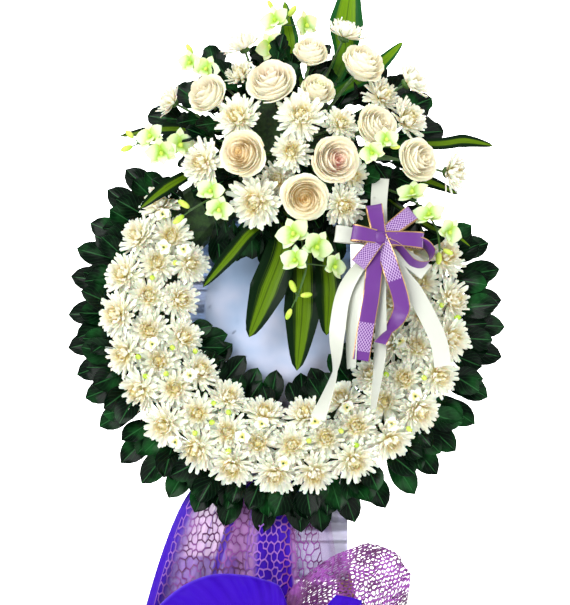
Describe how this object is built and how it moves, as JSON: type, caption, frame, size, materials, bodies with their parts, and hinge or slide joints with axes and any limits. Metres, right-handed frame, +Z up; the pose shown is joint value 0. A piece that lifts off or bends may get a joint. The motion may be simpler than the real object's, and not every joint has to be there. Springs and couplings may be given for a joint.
{
  "type": "funeral flower stand",
  "caption": "Leaning easel stand that carries a round wreath of white chrysanthemums, a spray of roses, orchids and long leaves, tied ribbons and a gathered cloth skirt.",
  "frame": {"origin": "on the floor, under the middle of the whole stand", "axes": "+Z up, -Y towards the front of the wreath, +X to the right as seen from the front"},
  "size_m": [0.6529, 0.6006, 1.5087],
  "materials": {
    "timber": "rough sawn",
    "moss": "floral foam",
    "tray": "satin",
    "mum": "matt petals",
    "rose": "soft petals",
    "orchid": "soft petals",
    "leaf": "glossy leaves",
    "striped": "semi-gloss leaves",
    "pale_cloth": "matt",
    "violet": "sheer organza",
    "net": "open net",
    "purple": "satin with gold edges",
    "white": "satin"
  },
  "bodies": {
    "root": {"front_leg_left": "timber", "front_leg_right": "timber", "upright": "timber", "cross_bar": "timber", "rear_leg": "timber", "ring_tray": "tray", "ring_foam": "moss", "ring_mums_1": "mum", "ring_mums_2": "mum", "ring_mums_3": "mum", "ring_mums_4": "mum", "ring_mums_5": "mum", "ring_mums_6": "mum", "outer_leaves_1": "leaf", "outer_leaves_2": "leaf", "outer_leaves_3": "leaf", "outer_leaves_4": "leaf", "outer_leaves_5": "leaf", "outer_leaves_6": "leaf", "inner_leaves_left": "leaf", "inner_leaves_right": "leaf", "rose_1": "rose", "rose_2": "rose", "rose_3": "rose", "rose_4": "rose", "rose_5": "rose", "rose_6": "rose", "rose_7": "rose", "rose_8": "rose", "rose_9": "rose", "rose_10": "rose", "spray_mums_top": "mum", "spray_mums_peak": "mum", "spray_mums_corner": "mum", "spray_mums_right": "mum", "spray_mums_middle": "mum", "spray_mums_left": "mum", "spray_mums_low": "mum", "orchid_left": "orchid", "orchid_top": "orchid", "orchid_upper_left": "orchid", "orchid_right": "orchid", "orchid_hanging": "orchid", "orchid_bow": "orchid", "orchid_low_left": "orchid", "dracaena_top": "striped", "dracaena_left": "striped", "dracaena_right": "striped", "dracaena_low": "striped", "filler_left": "leaf", "filler_right": "leaf", "spray_foam": "moss", "backing_cloth": "pale_cloth", "organza_skirt": "violet", "skirt_net": "net", "violet_bow": "violet", "net_bow": "net", "purple_ribbon": "purple", "white_ribbon": "white"}
  },
  "joints": []
}
